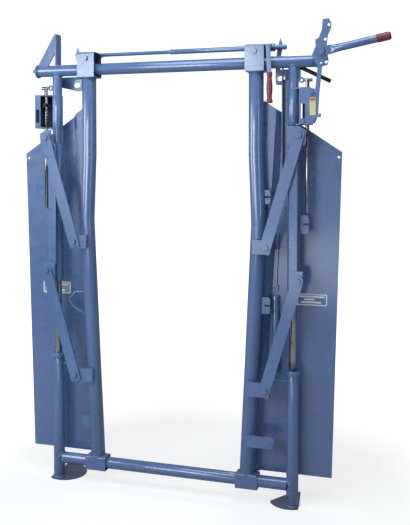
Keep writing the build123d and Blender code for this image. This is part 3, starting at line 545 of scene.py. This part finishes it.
def make_lock_grip(vinyl):
    """Moulded grip with a guard at each end and finger swells."""
    low, high, middle = span("lock_grip")
    radius, length = (high.x - low.x) / 2, high.z - low.z
    shares = [
        (0.000, 0.60), (0.010, 0.82), (0.035, 0.86), (0.060, 0.90), (0.095, 0.84), (0.160, 0.70),
        (0.260, 0.76), (0.380, 0.88), (0.500, 0.93), (0.620, 0.90), (0.740, 0.80), (0.830, 0.74),
        (0.880, 0.78), (0.915, 0.96), (0.955, 0.99), (0.985, 0.92), (1.000, 0.66), (1.000, 0.44),
        (0.970, 0.40),
    ]
    profile = eased([(share * length, swell * radius) for share, swell in shares], 4)
    mesh = bmesh.new()
    top = Vector((middle.x, middle.y, high.z))
    lathe(mesh, top, Vector((0, 0, -1)), profile, flatten=0.88)
    grip = piece_from("moulded_lock_grip", "lock_lever", mesh, [vinyl])
    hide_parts("lock_grip")


def make_handle_grip(vinyl):
    """Dipped vinyl sleeve: a rolled rim, faint ribs and a rounded end."""
    pivot = Vector((CENTRE_X + 0.668, AXIS_Y - 0.051, 1.900))
    run, rise = 0.272, 0.052
    way = Vector((run, 0, rise)).normalized()
    reach = hypot(run, rise)
    grip_l = 0.057
    stations = [(0.0, 0.0162), (0.0006, 0.0172), (0.002, 0.0179), (0.0045, 0.0175), (0.006, 0.0170)]
    ribs, rib_pitch = 7, 0.0055
    for index in range(ribs):
        start = 0.008 + index * rib_pitch
        stations += [(start, 0.0170), (start + rib_pitch * 0.45, 0.0175), (start + rib_pitch * 0.9, 0.0170)]
    dome_start, dome_r = grip_l - 0.0095, 0.0095
    for index in range(9):
        angle = pi / 2 * index / 8
        stations.append((dome_start + dome_r * sin(angle), 0.0170 - dome_r + dome_r * cos(angle)))
    stations.append((grip_l, 0.004))
    mesh = bmesh.new()
    lathe(mesh, pivot + way * (reach - grip_l), way, stations)
    grip = piece_from("vinyl_handle_grip", "handle", mesh, [vinyl])
    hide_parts("handle_grip")


# ---- labels ------------------------------------------------------------------------------------
def rounded_plate(mesh, corner, across, up, out, width, height, thick, radius, material_index):
    """A thin plate with round corners standing on a surface."""
    outline = []
    for turn, (cx, cy) in enumerate(((1, 1), (0, 1), (0, 0), (1, 0))):
        centre = (radius + cx * (width - 2 * radius), radius + cy * (height - 2 * radius))
        for step in range(5):
            angle = pi / 2 * (turn + step / 4)
            outline.append((centre[0] + radius * cos(angle), centre[1] + radius * sin(angle)))
    bottom = [mesh.verts.new(corner + across * x + up * y) for x, y in outline]
    top = [mesh.verts.new(corner + across * x + up * y + out * thick) for x, y in outline]
    faces = [mesh.faces.new(top), mesh.faces.new(list(reversed(bottom)))]
    count = len(outline)
    for index in range(count):
        after = (index + 1) % count
        faces.append(mesh.faces.new((bottom[index], bottom[after], top[after], top[index])))
    for face in faces:
        face.material_index = material_index


def make_info_label(name, body, x, y, z, width, height, white, blue):
    """A bordered label with three plain bars where text would be."""
    mesh = bmesh.new()
    across, up, out = Vector((1, 0, 0)), Vector((0, 0, 1)), Vector((0, -1, 0))
    corner = Vector((x, y, z))
    film, rim = 0.0003, 0.0045
    rounded_plate(mesh, corner, across, up, out, width, height, film, 0.004, 0)
    inner = corner + across * rim + up * rim + out * film
    rounded_plate(mesh, inner, across, up, out, width - 2 * rim, height - 2 * rim, film, 0.002, 1)
    bar_h = height * 0.15
    for row, (start, share) in enumerate(((0.08, 0.84), (0.24, 0.34), (0.14, 0.66))):
        place = corner + across * (width * start) + up * (height * (0.68 - row * 0.24)) + out * (2 * film)
        rounded_plate(mesh, place, across, up, out, width * share, bar_h, film * 0.7, 0.0015, 0)
    piece_from(name, body, mesh, [white, blue], smooth=False)


def make_caution_label(yellow, red, grey):
    """A yellow strip with a red band, on the upright plate."""
    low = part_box("upright_plate")[0]
    across, up, out = Vector((1, 0, 0)), Vector((0, 0, 1)), Vector((0, -1, 0))
    corner = Vector((low.x + 0.008, low.y, low.z + 0.034))
    width, height, film = 0.024, 0.072, 0.0003
    mesh = bmesh.new()
    rounded_plate(mesh, corner, across, up, out, width, height, film, 0.002, 0)
    band = corner + up * (height * 0.80) + across * 0.001 + out * film
    rounded_plate(mesh, band, across, up, out, width - 0.002, height * 0.17, film * 0.7, 0.001, 1)
    for row in range(6):
        place = corner + up * (height * (0.70 - row * 0.11)) + across * 0.004 + out * film
        length = width - 0.008 - 0.003 * (row % 2)
        rounded_plate(mesh, place, across, up, out, length, 0.0022, film * 0.6, 0.0008, 2)
    piece_from("caution_label", "right_carriage", mesh, [yellow, red, grey], smooth=False)


# ---- finishes of the CAD nodes -----------------------------------------------------------------
EDGE = {"paint": 0.0009, "fine": 0.0005}


def soften(piece, width):
    """Real rounded edges on a CAD node's sharp corners."""
    joined = piece.modifiers.new("join", "WELD")
    joined.merge_threshold = 1e-5
    rounded = piece.modifiers.new("round", "BEVEL")
    rounded.width = width
    rounded.segments = 2
    rounded.limit_method = "ANGLE"
    rounded.angle_limit = radians(32)
    rounded.harden_normals = True


def finish_nodes(paint, panel_paint, shaded_foot_paint, steel, bare, dark, vinyl):
    special = {
        "latch_rods": steel, "guide_rods": steel, "rear_bar": dark,
        "handle_grip": vinyl, "lock_grip": vinyl, "foot_plates": shaded_foot_paint,
    }
    for name, piece in nodes.items():
        material = special.get(name, paint)
        if name.endswith("_panel"):
            material = panel_paint
        elif name.endswith("_roller"):
            material = bare
        # springs are dark steel; the friction plates take dark steel as painted shade inside the latch
        # housing
        elif name.endswith(("_spring", "friction_plates")):
            material = dark
        piece.data.materials.clear()
        piece.data.materials.append(material)
        soften(piece, EDGE["fine"] if name.endswith(("_panel", "_plates", "_bolts")) else EDGE["paint"])


make_camera()
make_studio()
make_floor()
paint = blue_paint("blue_paint", (0.074, 0.132, 0.300), (0.088, 0.154, 0.345))
panel_paint = blue_paint("panel_paint", (0.082, 0.136, 0.310), (0.095, 0.156, 0.350), waves=0.12)
# a darker copy of the blue paint for the foot plates, as painted shade
shaded_foot_paint = blue_paint("shaded_foot_paint", (0.030, 0.048, 0.110), (0.048, 0.078, 0.180))
steel, bare, dark, vinyl = bright_steel(), bare_steel(), dark_steel(), red_vinyl()
finish_nodes(paint, panel_paint, shaded_foot_paint, steel, bare, dark, vinyl)
make_welds(paint)
for side_name in SIDES:
    make_spring(side_name, dark)
make_lock_grip(vinyl)
make_handle_grip(vinyl)
white_film = printed("white_film", (0.72, 0.73, 0.74), (0.80, 0.80, 0.80))
blue_film = printed("blue_film", (0.085, 0.145, 0.36), (0.10, 0.17, 0.40))
grey_film = printed("grey_film", (0.30, 0.30, 0.30), (0.38, 0.38, 0.36))
yellow_film = printed("yellow_film", (0.62, 0.50, 0.20), (0.72, 0.60, 0.28))
red_film = printed("red_film", (0.42, 0.09, 0.08), (0.50, 0.12, 0.10))
panel_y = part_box("right_panel")[1].y - 0.003
right_place, left_place = (CENTRE_X + 0.551, panel_y, 0.846), (CENTRE_X - 0.652, panel_y, 0.842)
make_info_label("right_label", "right_door", *right_place, 0.128, 0.049, white_film, blue_film)
make_info_label("left_label", "left_door", *left_place, 0.140, 0.055, white_film, grey_film)
make_caution_label(yellow_film, red_film, grey_film)
